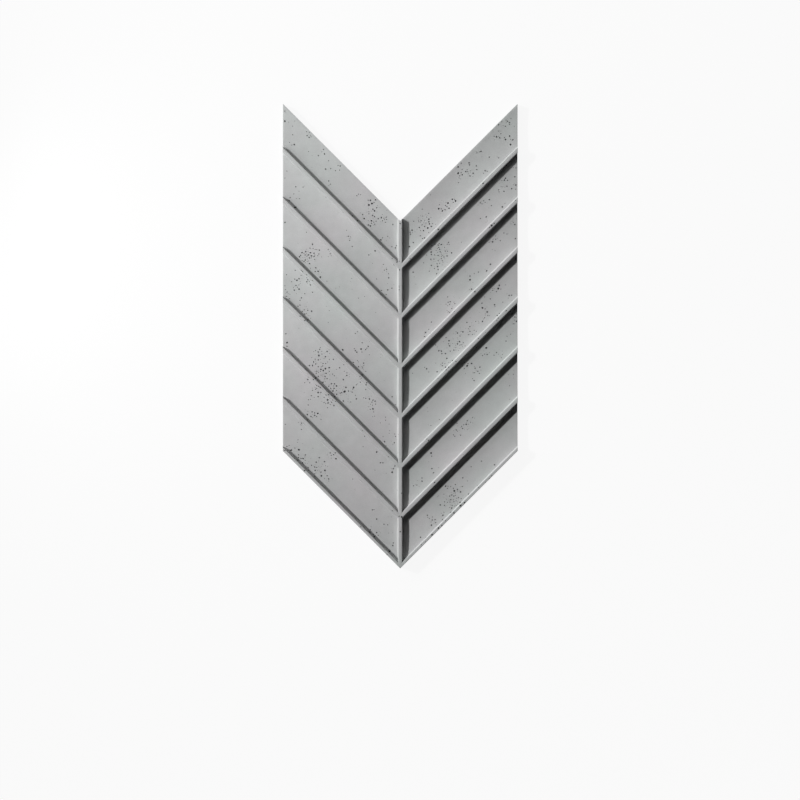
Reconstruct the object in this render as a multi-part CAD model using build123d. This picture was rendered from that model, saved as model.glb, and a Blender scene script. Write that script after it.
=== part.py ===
"""Chevron cladding panel, cast in concrete as one piece: a flat plate with a raised spine and raised
slanting ribs, which frame two columns of shallow slat-shaped fields.

It lies on its flat back, with the relief up. +Y runs from the pointed tip towards the notch, and the
origin is on the back, in the middle of the outline's bounding box."""

from build123d import *

import os
from math import cos, radians, sin, sqrt, tan

# Driving dimensions, in millimetres and degrees
panel_width = 450.0  # across the chevron, from one side edge to the other
slope_angle = 45.0  # how steeply the slats climb from the spine to the side edges
row_count = 7  # fields in each half
row_pitch = 95.7  # from one rib to the next, measured up the panel
joint_width = 3.0  # left between stacked panels, so that the ribs keep their pitch from panel to panel
field_thickness = 15.0  # of the plate, where a field meets its ribs
rib_height = 8.0  # from the foot of a rib to its flat top
rib_top_width = 6.4  # across the flat top of a rib
tip_rib_width = 5.0  # what is left of the lowest rib's flat top, where the tip's edge cuts it off
rib_side_run = 1.4  # how far each side of a rib leans out on its way down to the foot
field_dish = 1.4  # how much lower a field is along its middle than beside its ribs
corner_radius = 1.5  # upright corners inside a pocket
foot_radius = 1.0  # along the foot of the ribs
arris_radius = 0.6  # along the top edges of the ribs
overrun = 10.0  # how far a cutter runs on past the faces that it cuts through

# Worked out from them
half_width = panel_width / 2
rib_foot_width = rib_top_width + 2 * rib_side_run
panel_thickness = field_thickness + rib_height
rib_lean = rib_side_run / rib_height  # sideways for each unit of height, on every rib's side


def up(across):
    """A distance across a slat, measured up the panel instead."""
    return across / cos(radians(slope_angle))


side_length = row_count * row_pitch - up(joint_width)
chevron_rise = half_width * tan(radians(slope_angle))
panel_height = side_length + chevron_rise
notch_y = panel_height / 2 - chevron_rise
tip_y = -panel_height / 2
field_width = row_pitch * cos(radians(slope_angle)) - rib_foot_width


def rib_y(row):
    """How far up the spine the middle of the rib below a field is, counted from the lowest rib."""
    lowest_rib_y = tip_y + up(tip_rib_width - rib_top_width / 2)
    return lowest_rib_y + (row_count - 1 - row) * row_pitch


def floor_z(across):
    """Height of a field's floor, at a distance across it from the foot of its lower rib."""
    radius = (field_width**2 / 4 + field_dish**2) / (2 * field_dish)
    from_middle = across - field_width / 2
    return field_thickness - field_dish + radius - sqrt(radius**2 - from_middle**2)


def plate():
    """The whole chevron at the full thickness, before the fields are sunk into it."""
    outline = Polyline(
        (-half_width, notch_y + chevron_rise),
        (-half_width, tip_y + chevron_rise),
        (0, tip_y),
        (half_width, tip_y + chevron_rise),
        (half_width, notch_y + chevron_rise),
        (0, notch_y),
        close=True,
    )
    return extrude(make_face(outline), panel_thickness)


def beside_spine():
    """All that lies to the right of the spine's leaning side, from under the fields to over the ribs."""
    low = field_thickness - overrun
    high = panel_thickness + overrun
    low_x = rib_foot_width / 2 + rib_lean * (field_thickness - low)
    high_x = rib_foot_width / 2 - rib_lean * (high - field_thickness)
    far_x = half_width + overrun
    section = make_face(Polyline((low_x, low), (far_x, low), (far_x, high), (high_x, high), close=True))
    return extrude(Plane.XZ * section, panel_height / 2 + overrun, both=True)


def pocket(row):
    """What is taken out of the right half for one field: leaning walls, and a floor that is dished."""
    slat = (cos(radians(slope_angle)), sin(radians(slope_angle)), 0)
    across_up = (-sin(radians(slope_angle)), cos(radians(slope_angle)), 0)
    lower_foot_y = rib_y(row) + up(rib_foot_width / 2)
    section_plane = Plane(origin=(0, lower_foot_y, 0), x_dir=across_up, z_dir=slat)

    high = panel_thickness + overrun
    lower_side = -rib_lean * (high - field_thickness)
    upper_side = field_width - lower_side
    # No rib stands above the first field, so its floor runs on past the notch's edge.
    floor_end = upper_side if row == 0 else field_width
    floor = ThreePointArc(
        (0, floor_z(0)),
        (field_width / 2, floor_z(field_width / 2)),
        (floor_end, floor_z(floor_end)),
    )
    walls = Polyline(floor @ 1, (upper_side, high), (lower_side, high), floor @ 0)
    section = section_plane * make_face([floor, walls])

    # The section is square to the slat, so its upper corner lags behind and sets how far it is extruded.
    reach = up(half_width + overrun) + upper_side * tan(radians(slope_angle))
    cutter = extrude(section, reach, both=True) & beside_spine()
    corners = cutter.edges().filter_by(lambda e: abs(e.tangent_at(0.5).Z) > 0.5).sort_by(Axis.X)[:2]
    cutter = fillet(corners, corner_radius)
    floor_face = cutter.faces().filter_by(GeomType.CYLINDER).sort_by(SortBy.AREA)[-1]
    return fillet(floor_face.edges(), foot_radius)


def panel():
    right = [pocket(row) for row in range(row_count)]
    left = [mirror(cutter, about=Plane.YZ) for cutter in right]
    body = plate() - right - left
    top = body.faces().filter_by(GeomType.PLANE).sort_by(Axis.Z)[-1]
    return fillet(top.edges(), arris_radius)


os.makedirs("parts", exist_ok=True)
export_step(panel(), "parts/chevron_panel.step")
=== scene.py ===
"""The chevron cladding panel as cast concrete: its face with rounded arrises, slight unevenness and open
air bubbles, its material, and the studio round it.

The face is built again from the frame's box and the sizes below, because the bubbles are cut into it."""

import math
import random

import bmesh
import bpy
import numpy as np
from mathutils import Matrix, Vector, noise


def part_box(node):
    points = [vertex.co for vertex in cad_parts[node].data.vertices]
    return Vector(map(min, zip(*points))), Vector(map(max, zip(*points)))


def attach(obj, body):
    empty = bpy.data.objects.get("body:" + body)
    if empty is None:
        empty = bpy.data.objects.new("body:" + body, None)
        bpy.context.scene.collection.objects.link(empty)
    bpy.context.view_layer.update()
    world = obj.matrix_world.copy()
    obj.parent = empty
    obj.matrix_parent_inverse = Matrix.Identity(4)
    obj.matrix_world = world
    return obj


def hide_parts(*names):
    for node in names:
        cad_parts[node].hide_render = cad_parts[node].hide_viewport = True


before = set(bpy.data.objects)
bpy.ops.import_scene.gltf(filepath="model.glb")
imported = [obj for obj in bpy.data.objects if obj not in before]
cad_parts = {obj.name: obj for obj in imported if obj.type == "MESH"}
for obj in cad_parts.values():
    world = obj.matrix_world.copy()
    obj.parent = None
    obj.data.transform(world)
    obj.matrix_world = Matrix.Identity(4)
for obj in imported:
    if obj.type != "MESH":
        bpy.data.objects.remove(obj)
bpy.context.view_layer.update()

MM = 0.001
low, high = (Vector(corner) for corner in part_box("chevron_panel"))

# The panel, in metres, as the CAD has it. All its slanting lines climb at 45 degrees.
HALF_WIDTH = (high.x - low.x) / 2
TOP = high.z
NOTCH_Y = high.y - HALF_WIDTH
TIP_Y = low.y
ROWS = 7
ROW_PITCH = 95.7 * MM
RIB_HEIGHT = 8 * MM
RIB_TOP = 6.4 * MM
TIP_RIB = 5 * MM  # what is left of the lowest rib's top
RIB_FOOT = 9.2 * MM
DISH = 1.4 * MM
SQUARE = math.cos(math.radians(45))  # turns a distance up the panel into one square to the slats

FIELD = TOP - RIB_HEIGHT
STEEPNESS = 2 * RIB_HEIGHT / (RIB_FOOT - RIB_TOP)
FIELD_WIDTH = ROW_PITCH * SQUARE - RIB_FOOT
FIRST_RIB = TIP_Y + (TIP_RIB - RIB_TOP / 2) / SQUARE + (ROWS - 1) * ROW_PITCH

# How far up a rib's side its two corners are rounded, and the outline's arris
ARRIS_BLEND = 0.6 * MM
FOOT_BLEND = 1.8 * MM
OUTLINE_ARRIS = 0.7 * MM

# The mesh's lines run close together where the face turns. Those of ribs and fields end EDGE_STRIP short of
# the outline, which has its own.
CORNER_STEPS = (-1.4, -0.7, 0, 0.7, 1.4)  # round a rib's corner, as shares of its rounding
ARRIS_TURNS = (0, 22.5, 45, 67.5, 90)  # round the outline's arris, in degrees
FOOT_END = RIB_FOOT / 2 + 2 * FOOT_BLEND / STEEPNESS  # from a rib's middle to past its rounded foot
EDGE_STRIP = 2 * OUTLINE_ARRIS
LINES_ALONG_SLAT = 27
LINES_ACROSS_FIELD = 12
SHARP_ANGLE = 35  # edges that turn by more than this, in degrees, stay sharp

# The face isn't quite flat: it dips by up to about this much. Its swells are about this long, and each
# further layer of them is half as long and half as deep.
UNEVENNESS = 0.16 * MM
SWELL = 0.07
SWELL_LAYERS = 3
SWELL_STEP = 2.0
SWELL_FALLOFF = 1.0

# Open air bubbles, read from the photograph and listed by half and by the row of their field. Each
# has how far out from the spine and how far below the middle of the rib above it lies, and how wide the dark
# spot is that it makes, in millimetres. One that is less than 7 or more than 89 below is on a rib.
BUBBLES = {
    ("left", 0): [
        (0, 12, 2), (2, 86, 1.3), (7, 93, 1.5), (7, 61, 1.4), (9, 67, 1.8), (14, 27, 1.7), (15, 94, 1.7),
        (16, 72, 1.5), (20, 59, 1.1), (24, 60, 1.3), (26, 25, 1.5), (28, 37, 1.6), (30, 33, 1.6),
        (34, 40, 1.6), (34, 91, 2.2), (34, 73, 1.4), (36, 36, 2), (37, 80, 2.2), (39, 91, 1.8),
        (42, 44, 1.8), (45, 26, 1.8), (46, 53, 1.4), (47, 13, 2.2), (49, 47, 2), (49, 36, 2), (49, 62, 1.5),
        (50, 21, 1.6), (52, 25, 2.3), (53, 49, 1.8), (55, 66, 1.8), (56, 64, 2.4), (57, 73, 2.1),
        (57, 24, 2.2), (60, 36, 2.4), (60, 49, 1.5), (60, 53, 1.5), (60, 26, 1.6), (60, 74, 2.1),
        (69, 71, 2.4), (72, 66, 1.5), (76, 32, 1.1), (80, 35, 1.9), (82, 88, 1.6), (83, 41, 1.6),
        (92, 89, 1.8), (115, 16, 2.1), (116, 25, 1.5), (119, 19, 1.6), (133, 39, 1.4), (134, 70, 1.6),
        (136, 73, 1.3), (137, 67, 2.1), (137, 28, 1.3), (143, 50, 2), (145, 23, 2.1), (147, 16, 1.7),
        (157, 38, 1.5), (171, 16, 1.4), (172, 14, 1.5), (174, 20, 1.9), (174, 11, 1.5), (176, 21, 1.9),
        (202, 17, 1.2), (203, 63, 2), (206, 47, 1.4), (208, 69, 1.3), (212, 68, 1.4), (214, 31, 1.4),
        (221, 17, 1.6), (221, 36, 2.1),
    ],
    ("left", 1): [
        (1, 6, 2), (2, 45, 1.6), (12, 7, 1.3), (16, 56, 1.6), (22, 34, 1.2), (22, 42, 1.7), (24, 67, 1.9),
        (24, 55, 1.1), (26, 30, 1.8), (27, 79, 1.5), (28, 32, 1.6), (29, 87, 1.5), (32, 26, 1.6),
        (38, 91, 2), (45, 67, 1.6), (48, 16, 1.9), (53, 45, 1.1), (56, 30, 1.1), (60, 36, 1.9), (92, 52, 2),
        (97, 45, 1.8), (99, 39, 1.9), (142, 7, 1.2), (184, 28, 1.2), (186, 32, 1.5), (193, 61, 1.6),
        (194, 48, 1.2), (199, 67, 1.2), (200, 45, 1.9), (201, 86, 3), (204, 63, 1.7), (211, 77, 1.7),
        (213, 85, 2),
    ],
    ("left", 2): [
        (68, 28, 1.3), (80, 43, 1.3), (132, 14, 1.1), (134, 12, 2), (138, 8, 1.6), (153, 76, 2.2),
        (155, 26, 2.2), (157, 69, 2.2), (160, 30, 1.2), (162, 67, 2), (163, 75, 2), (163, 33, 1.3),
        (164, 53, 1.7), (165, 42, 1.8), (165, 48, 2), (167, 35, 1.4), (168, 28, 2), (170, 56, 1.4),
        (170, 52, 2), (172, 48, 2.2), (172, 78, 1.5), (173, 40, 1.5), (174, 60, 2), (174, 71, 2.4),
        (176, 56, 1.9), (181, 55, 2), (182, 72, 1.6), (183, 91, 1.5), (184, 76, 1.9), (188, 64, 2.2),
        (188, 79, 1.4), (191, 72, 1.5), (193, 77, 1.9), (221, 39, 1.8),
    ],
    ("left", 3): [
        (9, 81, 1.3), (59, 35, 1.4), (61, 21, 2.1), (63, 25, 1.5), (64, 94, 2), (66, 74, 1.3),
        (66, 32, 1.6), (70, 62, 1.9), (72, 73, 1.3), (73, 44, 1.4), (73, 26, 1.6), (74, 89, 2.5),
        (75, 40, 2.8), (77, 94, 1.5), (80, 79, 1.7), (82, 69, 1.2), (82, 14, 1.4), (83, 54, 2),
        (86, 21, 1.8), (86, 56, 2.1), (88, 52, 1.4), (89, 84, 1.6), (90, 81, 1.8), (102, 91, 2.2),
        (110, 77, 2.4), (168, 24, 1.8), (168, 2, 1.3), (172, 78, 1.3), (172, 14, 1.7), (177, 68, 1.6),
        (177, 86, 2.4), (177, 9, 1.9), (179, 15, 2), (179, 2, 1.3), (180, 89, 1.8), (180, 77, 1.3),
        (183, 42, 1.6), (183, 81, 1.5), (184, 74, 1.5), (187, 4, 1.9), (188, 81, 1.7), (189, 56, 1.8),
        (190, 14, 1.2), (192, 73, 1.6), (194, 44, 2.2), (194, 24, 1.9), (194, 36, 1.3), (196, 79, 1.5),
        (198, 31, 2.2), (200, 43, 1.7), (201, 15, 1.4), (202, 33, 1.3), (203, 55, 2.2), (212, 81, 1.8),
        (217, 73, 1.8), (218, 82, 1.5), (221, 65, 1.2),
    ],
    ("left", 4): [
        (4, 72, 1.2), (9, 46, 1.6), (11, 60, 1.8), (13, 64, 1.3), (20, 46, 1.3), (21, 52, 1.5),
        (27, 82, 1.6), (28, 28, 1.2), (28, 34, 1.6), (30, 77, 2), (38, 49, 1.4), (47, 22, 1.2),
        (48, 17, 2.2), (49, 47, 1.4), (51, 18, 2), (51, 41, 1.6), (52, 36, 2.2), (53, 30, 1.3),
        (53, 52, 1.2), (54, 25, 1.5), (57, 42, 1.5), (59, 24, 2.2), (64, -1, 1.8), (66, 13, 1.4),
        (66, 30, 1.4), (70, 33, 1.4), (76, -1, 1.3), (76, 9, 1.7), (79, 6, 1.4), (84, 49, 2), (84, 22, 1.4),
        (86, 44, 1.3), (89, 32, 2.2), (91, 37, 1.3), (92, 44, 1.8), (95, 66, 1.3), (99, 49, 1.7),
        (102, 17, 1.5), (102, 22, 2.3), (104, 47, 1.8), (107, 58, 3.2), (107, 19, 1.3), (108, 7, 1.5),
        (109, 37, 2.1), (109, 78, 2), (112, 65, 1.6), (115, 69, 1.5), (116, 21, 2), (122, 71, 1.7),
        (122, 78, 1.9), (122, 62, 1.8), (124, 94, 1.7), (125, 86, 2.2), (126, 62, 1.9), (127, 72, 1.7),
        (128, 17, 1.6), (129, 79, 2.2), (131, 90, 2.8), (132, 68, 2.2), (133, 78, 1.8), (136, 48, 1.5),
        (136, 41, 2), (137, 78, 1.7), (137, 89, 2.2), (137, 94, 2), (140, 14, 1.7), (140, 66, 2),
        (142, 58, 1.8), (143, 27, 2.1), (143, 40, 1.7), (143, 50, 2.6), (144, 66, 2.1), (145, 54, 2.4),
        (148, 45, 1.5), (148, 81, 2.2), (150, 29, 1.5), (153, 65, 1.6), (153, 19, 1.5), (153, 62, 1.7),
        (154, 24, 1.6), (156, 97, 1.6), (156, 38, 2.3), (157, 32, 1.7), (157, 47, 1.7), (157, 60, 1.8),
        (157, 79, 1.9), (157, 71, 1.7), (160, 72, 1.6), (161, 77, 1.7), (162, 34, 1.3), (162, 60, 2),
        (162, 87, 2.2), (163, 52, 1.5), (166, 94, 1.6), (166, 60, 1.7), (168, 69, 1.9), (174, 75, 2),
        (182, 90, 2), (217, 74, 2.4), (217, 81, 1.9), (219, 59, 1.8),
    ],
    ("left", 5): [
        (2, 96, 2), (10, 8, 1.8), (13, 16, 2), (15, 25, 2.2), (17, 20, 1.1), (22, 2, 1.4), (27, 39, 1.1),
        (33, 25, 1.9), (33, 80, 1.1), (38, 30, 2), (45, 16, 2), (68, 9, 1.7), (71, 32, 1.2), (72, 2, 1.4),
        (127, 9, 1.8), (134, 14, 1.4), (138, 15, 2), (139, 10, 2.4), (139, 25, 1.8), (142, 4, 1.6),
        (152, 9, 1.7), (157, 3, 1.9), (157, 22, 1.9), (157, 14, 2.4), (158, 55, 2.7), (160, 4, 1.7),
        (160, 9, 1.4), (160, 63, 1.7), (162, 13, 1.6), (164, 60, 1.7), (164, 65, 1.9), (168, 21, 1.3),
        (169, 63, 1.8), (170, 33, 1.9), (171, 74, 1.5), (172, 42, 1.2), (176, 4, 1.4), (176, 47, 1.7),
        (177, 70, 1.1), (177, 9, 2.1), (177, 86, 2), (178, 77, 2.3), (182, 72, 1.1), (183, 21, 1.2),
    ],
    ("left", 6): [
        (0, 28, 2.4), (2, 2, 2), (13, 63, 1.6), (14, 69, 1.5), (14, 44, 1), (15, 3, 1.5), (17, 17, 1.1),
        (20, 86, 2.6), (22, 53, 1), (24, 39, 1.7), (25, 96, 1.6), (31, 45, 1.6), (42, 77, 1.6), (45, 75, 2),
        (45, 49, 1.8), (50, 88, 2.2), (50, 36, 1.2), (52, 39, 1.8), (56, 75, 1.3), (57, 81, 1.7),
        (58, 87, 1.8), (91, 18, 1.3), (123, 11, 2.1), (124, 1, 1.6), (132, 19, 1.4), (132, 14, 1.3),
        (134, 11, 1.8), (137, 64, 2.3), (139, 42, 1.1), (140, 61, 1.5), (144, 55, 2.3), (145, 39, 2.1),
        (145, 71, 1.3), (151, 72, 2.2), (152, 66, 2), (155, 41, 2.1), (160, 65, 1.9), (161, 56, 1.8),
        (163, 67, 1.7), (163, 74, 2.1), (164, 81, 1.4), (164, 86, 1.8), (170, 71, 2.1), (176, 87, 1.6),
        (176, 81, 1.4), (182, 63, 1.7), (183, 94, 2), (185, 5, 2.1), (186, 74, 2.2), (187, 83, 2),
        (188, 76, 1.6), (189, 91, 1.8), (189, 9, 1.7), (189, 21, 1.4), (190, 96, 2.8), (191, 14, 1.2),
        (194, 65, 2.8), (195, 76, 2.3), (195, 14, 1.1), (195, 81, 1.8), (196, 87, 1.6), (196, 48, 1.4),
        (197, 54, 1.1), (202, 70, 1.7), (209, 81, 2), (213, 76, 1.3), (217, 82, 1.8), (221, 93, 1.6),
    ],
    ("right", 0): [
        (18, 74, 2), (19, 98, 1.8), (19, 47, 1.7), (20, 52, 1.5), (23, 47, 2.6), (25, 73, 1.8),
        (26, 33, 1.8), (36, 44, 1.5), (37, 56, 1.8), (39, 64, 1.4), (39, 74, 1.4), (40, 46, 1.6),
        (42, 56, 2), (43, 40, 1.6), (43, 83, 1.5), (45, 70, 2.1), (47, 64, 2.1), (47, 86, 1.8),
        (51, 50, 1.4), (53, 73, 2.4), (55, 47, 1.3), (55, 58, 2), (55, 84, 1.2), (55, 63, 2.2),
        (56, 67, 1.9), (60, 77, 2), (73, 96, 2.2), (74, 57, 2.3), (77, 59, 1.7), (80, 64, 2.2),
        (86, 71, 1.8), (87, 64, 1.5), (88, 59, 1.1), (92, 64, 2.2), (94, 76, 1.9), (97, 91, 1.3),
        (100, 65, 2.1), (104, 69, 1.5), (106, 74, 2.2), (111, 14, 2.4), (111, 26, 2.6), (112, 45, 1.4),
        (114, 34, 1.2), (117, 31, 1.4), (117, 13, 1.3), (119, 37, 1.8), (126, 38, 2.1), (131, 47, 1.2),
        (132, 27, 2.2), (133, 32, 1.9), (134, 54, 1.8), (140, 55, 2.2), (146, 47, 2), (146, 19, 1.1),
        (147, 23, 1.8), (147, 55, 2), (152, 26, 1.2), (155, 28, 1.9), (157, 40, 1.1), (159, 94, 2.2),
        (160, 75, 1.6), (163, 73, 2), (166, 77, 1.9), (171, 55, 2), (175, 92, 1.1), (180, 24, 1.3),
        (181, 32, 1.1), (185, 30, 2.1), (187, 71, 1), (188, 32, 1.2), (189, 23, 1.5), (189, 11, 2),
        (189, 74, 1.5), (191, 38, 1.9), (193, 32, 1.4), (195, 11, 1.3), (200, 47, 1.6), (202, 27, 1.6),
        (202, 52, 2), (203, 16, 1.4), (205, 20, 2), (207, 24, 2), (209, 28, 1.5), (210, 54, 2),
        (212, 62, 1.3), (212, 72, 2.2), (216, 67, 2.2), (219, 44, 1.1),
    ],
    ("right", 1): [
        (25, 34, 1.9), (27, 45, 1.1), (45, 36, 1.4), (51, 27, 1.5), (56, 63, 2), (59, 24, 2), (59, 43, 1.3),
        (60, 56, 2), (60, 35, 1.6), (60, 31, 2.6), (61, 19, 1.5), (65, 49, 1.6), (66, 42, 1.4),
        (66, 68, 1.5), (69, 36, 1.2), (70, 82, 1.8), (71, 64, 1.6), (72, 70, 2.1), (72, 43, 1.2),
        (73, 77, 1.9), (73, 30, 1.8), (73, 60, 1.2), (73, 50, 2.1), (76, 41, 1.8), (76, 68, 1.4),
        (77, 47, 1.7), (79, 35, 2.2), (79, 62, 1.7), (81, 68, 1.5), (82, 59, 1.2), (84, 64, 1.7),
        (89, 55, 1), (90, 68, 1.9), (91, 60, 1.4), (93, 45, 2.2), (94, 50, 1.3), (99, 71, 1.9),
        (154, 30, 1.8), (154, 60, 1.7), (157, 35, 1.3), (160, 32, 1.6), (163, 38, 1.4), (165, 68, 2),
        (167, 78, 1.2), (171, 95, 2), (171, 41, 2), (175, 56, 1.9), (175, 95, 2.8), (180, 96, 1.8),
        (189, 40, 1.8), (190, 45, 1.4), (194, 39, 1.1), (195, 28, 1.5), (196, 80, 2.6), (199, 53, 2.1),
        (201, 78, 1.2), (202, 31, 2), (205, 49, 1.8), (206, 39, 1.9), (214, 63, 2), (215, 80, 1.1),
        (217, 25, 1.2), (220, 46, 1.6), (221, 93, 1.2), (222, 31, 1.7), (222, 64, 2.2), (222, 72, 1.3),
    ],
    ("right", 2): [
        (47, 84, 1.8), (49, 78, 1.7), (55, 78, 1.6), (60, 69, 1.8), (68, 27, 1), (88, 63, 1.2),
        (90, 77, 1.2), (92, 80, 1.2), (92, 63, 2), (94, 83, 1.7), (95, 70, 1.4), (96, 66, 1.7),
        (99, 82, 1.4), (103, 74, 1.2), (104, 93, 1.3), (133, 80, 1.2), (134, 55, 1.9), (134, 62, 2.3),
        (137, 83, 1.8), (142, 58, 1.2), (143, 94, 2.4), (145, 98, 1.8), (150, 63, 1.9), (163, 71, 1),
        (166, 77, 1.8), (173, 71, 2.3), (177, 32, 2.2), (177, 47, 1), (178, 28, 1.2), (180, 95, 1.2),
        (182, 54, 1), (183, 33, 1.6), (183, 27, 1.3), (192, 45, 1.4), (199, 37, 1.7), (205, 45, 1.7),
        (217, 35, 1.4), (220, 42, 1.9), (221, 70, 1.7),
    ],
    ("right", 3): [
        (47, 47, 1.2), (51, 54, 1.9), (55, 64, 1.6), (68, 25, 1.7), (71, 32, 1.1), (71, 80, 2),
        (74, 42, 2.1), (79, 48, 2), (80, 54, 1.9), (80, 85, 1.3), (81, 73, 1.5), (81, 78, 1.8),
        (83, 34, 1.1), (86, 79, 1.2), (87, 87, 1.9), (87, 61, 1.8), (88, 93, 1.8), (88, 31, 1.8),
        (90, 73, 2.2), (93, 48, 1.7), (93, 93, 2), (94, 43, 2.1), (95, 54, 2.1), (96, 65, 1.3),
        (100, 87, 1.6), (103, 70, 1.8), (107, 69, 1.3), (107, 96, 1.8), (107, 74, 1.1), (110, 44, 2),
        (110, 61, 1.2), (110, 65, 2.1), (110, 54, 1.1), (112, 80, 1), (114, 65, 2.3), (115, 55, 1.3),
        (117, 48, 1.3), (117, 74, 1.5), (119, 51, 2), (126, 52, 1), (128, 42, 2), (131, 57, 1.2),
        (134, 65, 1.9), (134, 56, 2), (139, 76, 1.6), (142, 71, 1.4), (145, 57, 1.3), (146, 77, 1.3),
        (150, 95, 1.6), (151, 66, 1.2), (157, 34, 1.7), (158, 44, 2.9), (158, 70, 2), (162, 27, 1.3),
        (162, 67, 1.5), (163, 51, 1.2), (167, 61, 1.9), (168, 69, 1.5), (171, 72, 1.2), (173, 42, 1.9),
        (181, 61, 1.7), (182, 65, 1.2), (185, 96, 1.8), (185, 40, 1.9), (186, 87, 1.8), (188, 37, 2.3),
        (188, 94, 1.3), (190, 33, 2.4), (190, 87, 1.5), (193, 43, 1.7), (197, 72, 1.3), (202, 44, 1.1),
        (203, 95, 1.8), (205, 64, 1.1), (209, 71, 2.1), (214, 76, 2.1),
    ],
    ("right", 4): [
        (4, 84, 1.3), (33, 100, 1.6), (51, 93, 1.3), (52, 34, 1), (53, 97, 1.9), (55, 70, 1), (59, 75, 1.4),
        (120, 22, 1.7), (123, 30, 1.7), (124, 19, 1.8), (126, 23, 2.6), (128, 27, 1.8), (137, 34, 2),
        (139, 65, 1.2), (140, 55, 1.2), (142, 72, 2), (143, 58, 1.7), (149, 61, 1.6), (152, 68, 1.6),
        (153, 57, 2.1), (158, 40, 1.8), (162, 41, 1.4), (165, 32, 3.2), (167, 47, 2.1), (171, 47, 1.1),
        (180, 61, 1.8), (185, 61, 1.9), (189, 68, 1), (194, 80, 1.2), (196, 76, 1.3), (203, 57, 1.7),
        (205, 50, 1.6), (212, 53, 1.4), (218, 39, 1.5), (219, 33, 1.6), (220, 28, 2), (222, 37, 2.6),
        (223, 25, 1.6),
    ],
    ("right", 5): [
        (3, 53, 2), (26, 62, 1.7), (30, 64, 1), (32, 67, 1.4), (42, 63, 1.7), (42, 69, 1.8), (55, 45, 1),
        (59, 32, 2.6), (61, 64, 2), (64, 75, 1.9), (66, 95, 2.4), (74, 75, 1.1), (102, 40, 1.6),
        (105, 46, 1.7), (108, 37, 1.6), (109, 25, 1.7), (110, 41, 1.2), (116, 55, 2.3), (118, 40, 1.2),
        (120, 46, 1.9), (122, 41, 1.3), (127, 45, 2.1), (129, 40, 1.8), (131, 49, 1.1), (139, 44, 1.7),
        (143, 49, 1), (210, 54, 1.4), (210, 80, 1.2), (217, 39, 1.4),
    ],
    ("right", 6): [
        (39, 78, 1.9), (40, 93, 1.3), (49, 88, 1.1), (49, 96, 1.2), (52, 49, 1.7), (53, 54, 1.2),
        (56, 59, 1.7), (60, 76, 2.2), (61, 95, 2.1), (62, 62, 1.4), (67, 72, 1.8), (68, 79, 2.1),
        (76, 97, 2.2), (77, 54, 2.1), (79, 72, 1.1), (80, 96, 1.8), (81, 86, 1.6), (82, 79, 2.3),
        (84, 75, 1.5), (85, 63, 1.8), (85, 56, 1.9), (87, 94, 1.3), (87, 28, 2.2), (91, 63, 1.6),
        (92, 33, 1.4), (95, 55, 1.7), (95, 77, 1.2), (97, 88, 1.5), (97, 39, 1.4), (97, 64, 1.9),
        (99, 57, 1.8), (99, 82, 1.7), (100, 78, 1.6), (102, 69, 1.2), (102, 47, 1.8), (103, 74, 1.9),
        (103, 95, 1.9), (103, 63, 1.7), (104, 54, 2.4), (105, 84, 1.5), (106, 44, 1.6), (106, 60, 1.5),
        (108, 86, 1.1), (110, 57, 1.7), (112, 75, 1.5), (115, 87, 1.8), (116, 68, 2), (116, 94, 3.2),
        (117, 82, 1.3), (119, 61, 1.9), (120, 45, 2), (124, 97, 2), (129, 60, 1.3), (131, 87, 1.5),
        (136, 40, 1.7), (148, 88, 1.3), (150, 93, 1.4), (156, 49, 1.3), (173, 99, 1.3), (176, 97, 1.9),
        (181, 81, 2),
    ],
}

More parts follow.
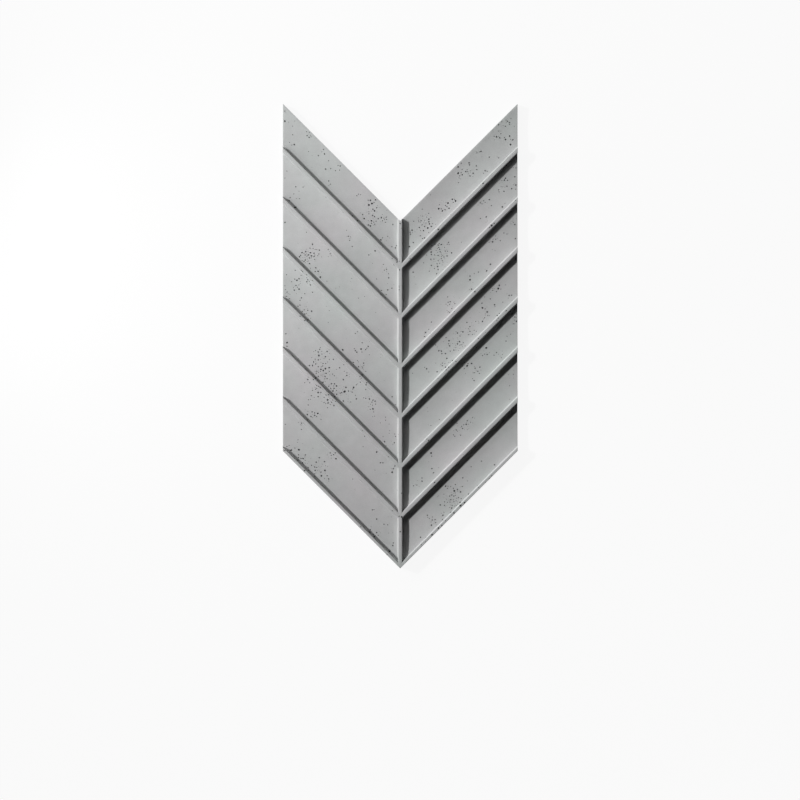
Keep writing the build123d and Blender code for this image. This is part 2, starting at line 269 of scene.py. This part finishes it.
# Round them there are groups of fine ones: how far out and below, how many, and how wide
FINE_BUBBLES = {
    ("left", 0): [
        (29, 36, 4, 1), (51, 36, 8, 1), (54, 64, 6, 1), (173, 14, 3, 0.9),
    ],
    ("left", 1): [
        (4, 44, 4, 1), (25, 31, 4, 1), (97, 41, 3, 1),
    ],
    ("left", 2): [
        (136, 11, 3, 0.9), (157, 69, 6, 0.9), (169, 44, 10, 1), (174, 57, 8, 1), (187, 73, 6, 0.9),
    ],
    ("left", 3): [
        (41, 17, 3, 0.8), (73, 71, 6, 0.9), (177, 9, 6, 0.9), (184, 75, 8, 0.9), (199, 41, 8, 1),
        (217, 71, 5, 0.9),
    ],
    ("left", 4): [
        (14, 51, 6, 0.9), (54, 31, 8, 0.9), (79, 7, 5, 0.9), (99, 21, 5, 0.9), (103, 61, 8, 0.9),
        (127, 73, 14, 1), (135, 93, 6, 1.1), (141, 63, 10, 1), (151, 39, 16, 1), (157, 65, 16, 1),
    ],
    ("left", 5): [
        (139, 11, 6, 1), (159, 9, 8, 1), (164, 62, 6, 0.9),
    ],
    ("left", 6): [
        (46, 76, 4, 0.9), (133, 15, 4, 0.9), (139, 66, 5, 0.9), (154, 60, 8, 0.9), (162, 72, 6, 0.9),
        (189, 15, 4, 0.8), (189, 73, 10, 1),
    ],
    ("right", 0): [
        (22, 47, 4, 1), (44, 51, 8, 1), (50, 63, 12, 1), (86, 65, 8, 0.9), (114, 37, 4, 0.9),
        (134, 45, 6, 0.9), (190, 23, 5, 0.9), (206, 25, 5, 0.9),
    ],
    ("right", 1): [
        (65, 47, 6, 0.9), (72, 72, 5, 0.9), (77, 40, 12, 1), (80, 64, 14, 1), (160, 34, 5, 0.9),
        (198, 36, 6, 0.9), (219, 64, 3, 0.9),
    ],
    ("right", 2): [
        (52, 80, 3, 0.8), (94, 72, 10, 0.9), (134, 59, 4, 0.9), (182, 30, 4, 0.8), (218, 35, 5, 0.9),
    ],
    ("right", 3): [
        (86, 84, 8, 1), (100, 62, 6, 0.9), (112, 58, 16, 1), (114, 70, 8, 0.9), (137, 64, 8, 0.9),
        (162, 64, 5, 0.9), (188, 36, 4, 0.9),
    ],
    ("right", 4): [
        (126, 24, 5, 1), (147, 60, 6, 0.9), (162, 40, 3, 0.8), (196, 76, 4, 0.8), (220, 32, 6, 1),
    ],
    ("right", 5): [
        (31, 64, 4, 0.8), (106, 40, 3, 0.8), (122, 44, 8, 0.9), (130, 45, 4, 0.8), (214, 40, 3, 0.8),
    ],
    ("right", 6): [
        (62, 71, 6, 0.9), (88, 59, 5, 0.9), (99, 75, 10, 1), (100, 57, 12, 1), (106, 85, 6, 0.9),
        (112, 65, 4, 0.9),
    ],
}
FINE_SPREAD = 2.4 * MM  # how far a fine group's bubbles scatter, for each square root of their number
FINE_SCATTER = 0.25  # how far their widths scatter, as a share
TRUE_WIDTH = 1.6  # how much wider a bubble is than its dark spot, because light falls on part of its wall
NARROWEST = 0.9 * MM  # a bubble is at least as wide as this
FACETED_BELOW = 1.9 * MM  # narrower bubbles have fewer facets
STRAYS = 150  # single bubbles anywhere on the face
STRAY_WIDTH = 1.0 * MM
TRIES = 30  # at finding a free place for each bubble
BLOCKED_STEP = 0.12 * MM  # how much further a bubble may be moved at each try
GAP = 0.62  # least distance between the middles of two bubbles, as a share of their widths added up
EDGE_GAP = 0.4  # least distance from a bubble's middle to the outline, as a share of its width
STRETCH = (0.8, 1.2)  # least and most of a bubble's length, and of its breadth, as shares of its width
LOPSIDED = 0.12  # how far a bubble's wall strays from round, as a share
LUMPS = 3  # how closely its wall's lumps follow each other
SINK = 0.25  # how far a bubble's middle lies below the face, as a share of its width
SEED = 31

# The concrete. The noises have their scale in waves a metre, and a reach, by which they sway the brightness.
PURPLISH_GREY = (0.431, 0.4205, 0.428, 1)
GREENISH_GREY = (0.409, 0.4295, 0.421, 1)
TINT = {"scale": 7.5, "detail": 3}
CLOUDS = {"scale": 11, "detail": 4, "reach": 0.045}
MOTTLING = {"scale": 60, "detail": 4, "reach": 0.038}
GRAIN = {"scale": 650, "detail": 3, "reach": 0.055}
SAND = {"scale": 900, "detail": 3}
SAND_HEIGHT = 0.15 * MM
SAND_STRENGTH = 0.3
ROUGHNESS = 0.88
BUBBLE_PAINTED_SHADE = 0.22  # painted shade: how bright a bubble's wall is painted, as a share of the face's
NOISE_SPAN = (0.3, 0.7)  # most of a noise's values lie between these


def smooth_min(a, b, blend):
    overlap = np.maximum(blend - np.abs(a - b), 0) / blend
    return np.minimum(a, b) - overlap**2 * blend / 4


def smooth_max(a, b, blend):
    return -smooth_min(-a, -b, blend)


def inside_outline(x, y):
    """How far inside the nearest side of the outline a point is."""
    climb = y - np.abs(x)
    return np.minimum(HALF_WIDTH - np.abs(x), np.minimum(climb - TIP_Y, NOTCH_Y - climb) * SQUARE)


def face_height(x, y):
    """Height of the face above the back, anywhere inside the outline."""
    out = np.abs(x)
    ribs_down = (FIRST_RIB - y + out) / ROW_PITCH
    nearest = np.clip(np.round(ribs_down), 0, ROWS - 1)
    from_rib = np.abs(ribs_down - nearest) * ROW_PITCH * SQUARE
    rib_side = FIELD + (RIB_FOOT / 2 - from_rib) * STEEPNESS
    spine_side = FIELD + (RIB_FOOT / 2 - out) * STEEPNESS

    lower_rib = np.clip(np.ceil(ribs_down), 0, ROWS - 1)
    across = (lower_rib - ribs_down) * ROW_PITCH * SQUARE - RIB_FOOT / 2
    floor = FIELD - DISH * (1 - (2 * across / FIELD_WIDTH - 1) ** 2)

    sides = smooth_max(rib_side, spine_side, FOOT_BLEND)
    height = smooth_min(smooth_max(floor, sides, FOOT_BLEND), TOP, ARRIS_BLEND)
    to_arris = np.clip(OUTLINE_ARRIS - inside_outline(x, y), 0, OUTLINE_ARRIS)
    return height - OUTLINE_ARRIS + np.sqrt(OUTLINE_ARRIS**2 - to_arris**2)


def unevenness(x, y):
    place = Vector((x, y, 0)) / SWELL
    return UNEVENNESS * (noise.fractal(place, SWELL_FALLOFF, SWELL_STEP, SWELL_LAYERS) - 1) / 2


def rib_lines():
    """Where mesh lines run beside a rib's middle: close together round its two rounded corners."""
    corners = ((RIB_TOP / 2, ARRIS_BLEND), (RIB_FOOT / 2, FOOT_BLEND))
    return [corner + step * blend / STEEPNESS for corner, blend in corners for step in CORNER_STEPS]


def arris_lines():
    """Where mesh lines run beside the outline, measured inwards."""
    return [OUTLINE_ARRIS * (1 - math.cos(math.radians(turn))) for turn in ARRIS_TURNS]


def lines_across():
    """The mesh's x positions, from the left edge to the right one."""
    along_slat = np.linspace(FOOT_END, HALF_WIDTH - EDGE_STRIP, LINES_ALONG_SLAT)
    edge = [HALF_WIDTH - inward for inward in arris_lines()]
    right = sorted([*rib_lines(), *along_slat, *edge])
    return np.array([-x for x in reversed(right)] + [0.0] + right)


def lines_up():
    """The mesh's positions up the spine, from the tip's edge to the notch's."""
    ups = {TIP_Y + inward / SQUARE for inward in arris_lines()}
    ups |= {NOTCH_Y - inward / SQUARE for inward in arris_lines()}
    inner_low = min(ups) + EDGE_STRIP
    inner_high = max(ups) - EDGE_STRIP
    field = np.linspace(FOOT_END, RIB_FOOT / 2 + FIELD_WIDTH, LINES_ACROSS_FIELD)[:-1]
    offsets = [0, *rib_lines(), *(-line for line in rib_lines()), *field]
    for row in range(ROWS):
        lines = [FIRST_RIB - row * ROW_PITCH + offset / SQUARE for offset in offsets]
        ups |= {line for line in lines if inner_low < line < inner_high}
    return np.array(sorted(ups))


def plain_panel():
    """The panel's closed mesh without bubbles."""
    xs = lines_across()
    ups = lines_up()
    x, up = np.meshgrid(xs, ups, indexing="ij")
    y = up + np.abs(x)
    z = face_height(x, y)
    columns, rows = x.shape
    top = [
        (x[i, j], y[i, j], z[i, j] + unevenness(x[i, j], y[i, j]))
        for i in range(columns)
        for j in range(rows)
    ]

    def at(i, j):
        return i * rows + j

    # Each cell is split along the diagonal that lies on the true face, so that mitres stay sharp.
    middle_up = (up[:-1, :-1] + up[1:, 1:]) / 2
    middle_x = (x[:-1, :-1] + x[1:, 1:]) / 2
    middle = face_height(middle_x, middle_up + np.abs(middle_x))
    rising = np.abs((z[:-1, :-1] + z[1:, 1:]) / 2 - middle)
    falling = np.abs((z[1:, :-1] + z[:-1, 1:]) / 2 - middle)
    faces = []
    for i in range(columns - 1):
        for j in range(rows - 1):
            corners = (at(i, j), at(i + 1, j), at(i + 1, j + 1), at(i, j + 1))
            if falling[i, j] < rising[i, j]:
                corners = corners[1:] + corners[:1]
            faces += [corners[:3], (corners[0], corners[2], corners[3])]

    # The back and the edges: the back's points lie under the two slanting edges of the face.
    tip = [len(top) + i for i in range(columns)]
    notch = [len(top) + columns + i for i in range(columns)]
    back = [(x[i, 0], y[i, 0], 0.0) for i in range(columns)]
    back += [(x[i, -1], y[i, -1], 0.0) for i in range(columns)]
    for i in range(columns - 1):
        faces.append((tip[i], notch[i], notch[i + 1], tip[i + 1]))
        faces.append((tip[i], tip[i + 1], at(i + 1, 0), at(i, 0)))
        faces.append((notch[i + 1], notch[i], at(i, rows - 1), at(i + 1, rows - 1)))
    faces.append([notch[0], tip[0], *(at(0, j) for j in range(rows))])
    faces.append([tip[-1], notch[-1], *(at(columns - 1, j) for j in reversed(range(rows)))])
    return closed_mesh("cast_panel", top + back, faces, in_bubble=0)


def closed_mesh(name, points, faces, in_bubble):
    """A mesh whose faces all say whether they are the wall of a bubble."""
    mesh = bpy.data.meshes.new(name)
    mesh.from_pydata(points, [], faces)
    mark = mesh.attributes.new("in_bubble", "FLOAT", "FACE")
    mark.data.foreach_set("value", [in_bubble] * len(faces))
    return mesh


def place_bubbles(chance):
    """The x, y and width of every bubble, kept apart: the listed ones, the fine groups, then the strays."""
    placed = []

    def place(x, y, width, spread=0.0, scatter=0.0):
        for attempt in range(TRIES):
            reach = spread + attempt * BLOCKED_STEP
            new_x, new_y = chance.gauss(x, reach), chance.gauss(y, reach)
            new_width = max(width * TRUE_WIDTH * math.exp(chance.gauss(0, scatter)), NARROWEST)
            clear = all(math.hypot(new_x - a, new_y - b) > GAP * (new_width + c) for a, b, c in placed)
            if clear and inside_outline(new_x, new_y) > EDGE_GAP * new_width:
                placed.append((new_x, new_y, new_width))
                return

    def spot(half, row, out, below):
        side = 1 if half == "right" else -1
        return side * out * MM, FIRST_RIB + (1 - row) * ROW_PITCH + (out - below) * MM

    for (half, row), bubbles in BUBBLES.items():
        for out, below, width in bubbles:
            place(*spot(half, row, out, below), width * MM)
    for (half, row), groups in FINE_BUBBLES.items():
        for out, below, count, width in groups:
            for _ in range(count):
                place(*spot(half, row, out, below), width * MM, FINE_SPREAD * math.sqrt(count), FINE_SCATTER)
    for _ in range(STRAYS):
        x = chance.uniform(-HALF_WIDTH, HALF_WIDTH)
        place(x, chance.uniform(TIP_Y, NOTCH_Y) + abs(x), STRAY_WIDTH, 0.0, FINE_SCATTER)
    return placed


def ball(subdivisions):
    """The points and the triangles of a ball that is 1 wide."""
    sphere = bmesh.new()
    bmesh.ops.create_icosphere(sphere, subdivisions=subdivisions, radius=0.5)
    points = np.array([vert.co for vert in sphere.verts])
    faces = np.array([[vert.index for vert in face.verts] for face in sphere.faces])
    sphere.free()
    return points, faces


def bubble_mesh(chance):
    """All bubbles as closed, slightly lopsided balls, each with its middle just under the face."""
    fine = ball(subdivisions=2)
    coarse = ball(subdivisions=1)
    points, faces = [], []
    points_so_far = 0
    for x, y, width in place_bubbles(chance):
        round_points, ball_faces = coarse if width < FACETED_BELOW else fine
        direction = np.array([chance.gauss(0, 1) for _ in range(3)])
        bulge = 1 + LOPSIDED * np.sin(LUMPS * round_points @ direction + chance.uniform(0, math.tau))
        shape = round_points * bulge[:, None] * [chance.uniform(*STRETCH), chance.uniform(*STRETCH), 1]
        turn = chance.uniform(0, math.tau)
        turned_x = shape[:, 0] * math.cos(turn) - shape[:, 1] * math.sin(turn)
        turned_y = shape[:, 0] * math.sin(turn) + shape[:, 1] * math.cos(turn)
        z = face_height(x, y) + unevenness(x, y) - SINK * width
        faces.append(ball_faces + points_so_far)
        points.append(np.stack([turned_x, turned_y, shape[:, 2]], axis=1) * width + [x, y, z])
        points_so_far += len(round_points)
    all_points = np.concatenate(points).tolist()
    all_faces = np.concatenate(faces).tolist()
    return closed_mesh("bubbles", all_points, all_faces, in_bubble=1)


def cast_panel():
    """The panel with its bubbles cut into it."""
    panel = link("cast_panel", plain_panel())
    bubbles = link("bubbles", bubble_mesh(random.Random(SEED)))
    cut = panel.modifiers.new("bubbles", "BOOLEAN")
    cut.operation = "DIFFERENCE"
    cut.solver = "MANIFOLD"
    cut.object = bubbles
    cut_panel = panel.evaluated_get(bpy.context.evaluated_depsgraph_get())
    panel.data = bpy.data.meshes.new_from_object(cut_panel)
    panel.modifiers.clear()
    bpy.data.objects.remove(bubbles)
    panel.data.materials.clear()
    panel.data.materials.append(concrete())
    panel.data.shade_smooth()
    panel.data.set_sharp_from_angle(angle=math.radians(SHARP_ANGLE))
    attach(panel, "root")
    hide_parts("chevron_panel")


def link(name, data):
    item = bpy.data.objects.new(name, data)
    bpy.context.scene.collection.objects.link(item)
    return item


def add_node(tree, kind, inputs, **settings):
    """A new node of a tree. Each of its inputs is a constant or another node's output."""
    made = tree.nodes.new(kind)
    for name, value in settings.items():
        setattr(made, name, value)
    for name, value in inputs.items():
        if isinstance(value, bpy.types.NodeSocket):
            tree.links.new(value, made.inputs[name])
        else:
            made.inputs[name].default_value = value
    return made


def waves(tree, place, scale, detail):
    inputs = {"Vector": place, "Scale": scale, "Detail": detail}
    return add_node(tree, "ShaderNodeTexNoise", inputs).outputs["Fac"]


def noise_around_one(tree, place, scale, detail, reach):
    """A noise that wanders to either side of 1, for the most part by no more than its reach."""
    inputs = {
        "Value": waves(tree, place, scale, detail),
        "From Min": NOISE_SPAN[0],
        "From Max": NOISE_SPAN[1],
        "To Min": 1 - reach,
        "To Max": 1 + reach,
    }
    return add_node(tree, "ShaderNodeMapRange", inputs, clamp=False).outputs[0]


def multiply(tree, a, b):
    return add_node(tree, "ShaderNodeMath", {0: a, 1: b}, operation="MULTIPLY").outputs[0]


def concrete():
    """Pale grey cement skin: cloudy and faintly tinted, with a fine grain, and with painted shade inside its
    bubbles.
    """
    material = bpy.data.materials.new("concrete")
    material.use_nodes = True
    tree = material.node_tree
    place = add_node(tree, "ShaderNodeTexCoord", {}).outputs["Object"]

    clouds = noise_around_one(tree, place, **CLOUDS)
    mottling = noise_around_one(tree, place, **MOTTLING)
    grain = noise_around_one(tree, place, **GRAIN)
    shade = multiply(tree, multiply(tree, clouds, mottling), grain)

    # Painted shade: the walls of the bubbles are painted darker, as the shade in them would be.
    painted_shade_mask = add_node(tree, "ShaderNodeAttribute", {}, attribute_name="in_bubble").outputs["Fac"]
    painted_shade_range = {"Value": painted_shade_mask, "To Min": 1.0, "To Max": BUBBLE_PAINTED_SHADE}
    shade = multiply(tree, shade, add_node(tree, "ShaderNodeMapRange", painted_shade_range).outputs[0])

    tint = add_node(tree, "ShaderNodeValToRGB", {"Fac": waves(tree, place, **TINT)})
    for stop, position, grey in zip(tint.color_ramp.elements, NOISE_SPAN, (PURPLISH_GREY, GREENISH_GREY)):
        stop.position = position
        stop.color = grey
    colour = add_node(
        tree, "ShaderNodeVectorMath", {0: tint.outputs["Color"], "Scale": shade}, operation="SCALE"
    ).outputs["Vector"]

    sand = {"Strength": SAND_STRENGTH, "Distance": SAND_HEIGHT, "Height": waves(tree, place, **SAND)}
    normal = add_node(tree, "ShaderNodeBump", sand).outputs["Normal"]
    surface = tree.nodes["Principled BSDF"]
    tree.links.new(colour, surface.inputs["Base Color"])
    tree.links.new(multiply(tree, ROUGHNESS, mottling), surface.inputs["Roughness"])
    tree.links.new(normal, surface.inputs["Normal"])
    return material


# The photo is 800 pixels wide and shows this much of the floor; the lens is long, and looks straight down.
VIEW_WIDTH = 1.532
VIEW_MIDDLE = (-0.0003, -0.1228)
LENS = 135  # in millimetres
FARTHEST_SEEN = 50

# The key light is low, from the left. Its direction is the way to the light, in degrees round from +X and
# up from the floor. The soft lights face the middle of the panel.
KEY = {"round": 161.0, "up": 31.4, "strength": 3.62, "angle": 1.5}
SIDE = {"at": (-0.7, 0.15, 0.35), "size": 0.5, "power": 2.5}
FILL = {"at": (-0.53, 1.31, 0.85), "size": 0.7, "power": 7.0}

HALF_FLOOR = 6
UNDER_PANEL = 0.2 * MM  # how far the floor lies below the panel's back
FLOOR_PAINT = (0.6, 0.6, 0.6, 1)
FLOOR_ROUGHNESS = 0.9
FLOOR_GLOW = 0.92  # how much of the floor's white, as the camera sees it, is its own


def add_camera():
    camera = link("camera", bpy.data.cameras.new("camera"))
    camera.data.lens = LENS
    camera.data.clip_end = FARTHEST_SEEN
    distance = VIEW_WIDTH * camera.data.lens / camera.data.sensor_width
    camera.location = (*VIEW_MIDDLE, TOP + distance)
    bpy.context.scene.camera = camera


def add_key_light():
    key = link("key_light", bpy.data.lights.new("key_light", "SUN"))
    key.data.energy = KEY["strength"]
    key.data.angle = math.radians(KEY["angle"])
    round_, up = math.radians(KEY["round"]), math.radians(KEY["up"])
    to_light = Vector((math.cos(up) * math.cos(round_), math.cos(up) * math.sin(round_), math.sin(up)))
    key.rotation_euler = to_light.to_track_quat("Z", "Y").to_euler()


def add_soft_light(name, light):
    lamp = link(name, bpy.data.lights.new(name, "AREA"))
    lamp.data.size = light["size"]
    lamp.data.energy = light["power"]
    lamp.location = light["at"]
    lamp.rotation_euler = Vector(light["at"]).to_track_quat("Z", "Y").to_euler()
    lamp.visible_camera = False


def white_to_camera(tree, other, share):
    """A shader that is white by that share for the camera and for mirrors, and else is the other one."""
    path = add_node(tree, "ShaderNodeLightPath", {})
    rays = {0: path.outputs["Is Camera Ray"], 1: path.outputs["Is Glossy Ray"]}
    seen = add_node(tree, "ShaderNodeMath", rays, operation="MAXIMUM").outputs[0]
    white = add_node(tree, "ShaderNodeEmission", {}).outputs[0]
    mix = {0: multiply(tree, seen, share), 1: other, 2: white}
    return add_node(tree, "ShaderNodeMixShader", mix).outputs[0]


def add_world():
    """White all round, as the camera and mirrors see it. It gives no other light."""
    world = bpy.data.worlds.new("world")
    world.use_nodes = True
    tree = world.node_tree
    background = tree.nodes["Background"]
    background.inputs["Strength"].default_value = 0
    shader = white_to_camera(tree, background.outputs[0], share=1)
    tree.links.new(shader, tree.nodes["World Output"].inputs["Surface"])
    bpy.context.scene.world = world


def add_floor():
    mesh = bpy.data.meshes.new("floor")
    corners = [(x * HALF_FLOOR, y * HALF_FLOOR) for x, y in ((-1, -1), (1, -1), (1, 1), (-1, 1))]
    mesh.from_pydata([(x, y, low.z - UNDER_PANEL) for x, y in corners], [], [(0, 1, 2, 3)])
    material = bpy.data.materials.new("floor")
    material.use_nodes = True
    tree = material.node_tree
    paint = tree.nodes["Principled BSDF"]
    paint.inputs["Base Color"].default_value = FLOOR_PAINT
    paint.inputs["Roughness"].default_value = FLOOR_ROUGHNESS
    shader = white_to_camera(tree, paint.outputs[0], share=FLOOR_GLOW)
    tree.links.new(shader, tree.nodes["Material Output"].inputs["Surface"])
    mesh.materials.append(material)
    link("floor", mesh)


cast_panel()
add_camera()
add_key_light()
add_soft_light("side_light", SIDE)
add_soft_light("fill_light", FILL)
add_world()
add_floor()

bpy.context.scene.view_settings.view_transform = "Standard"
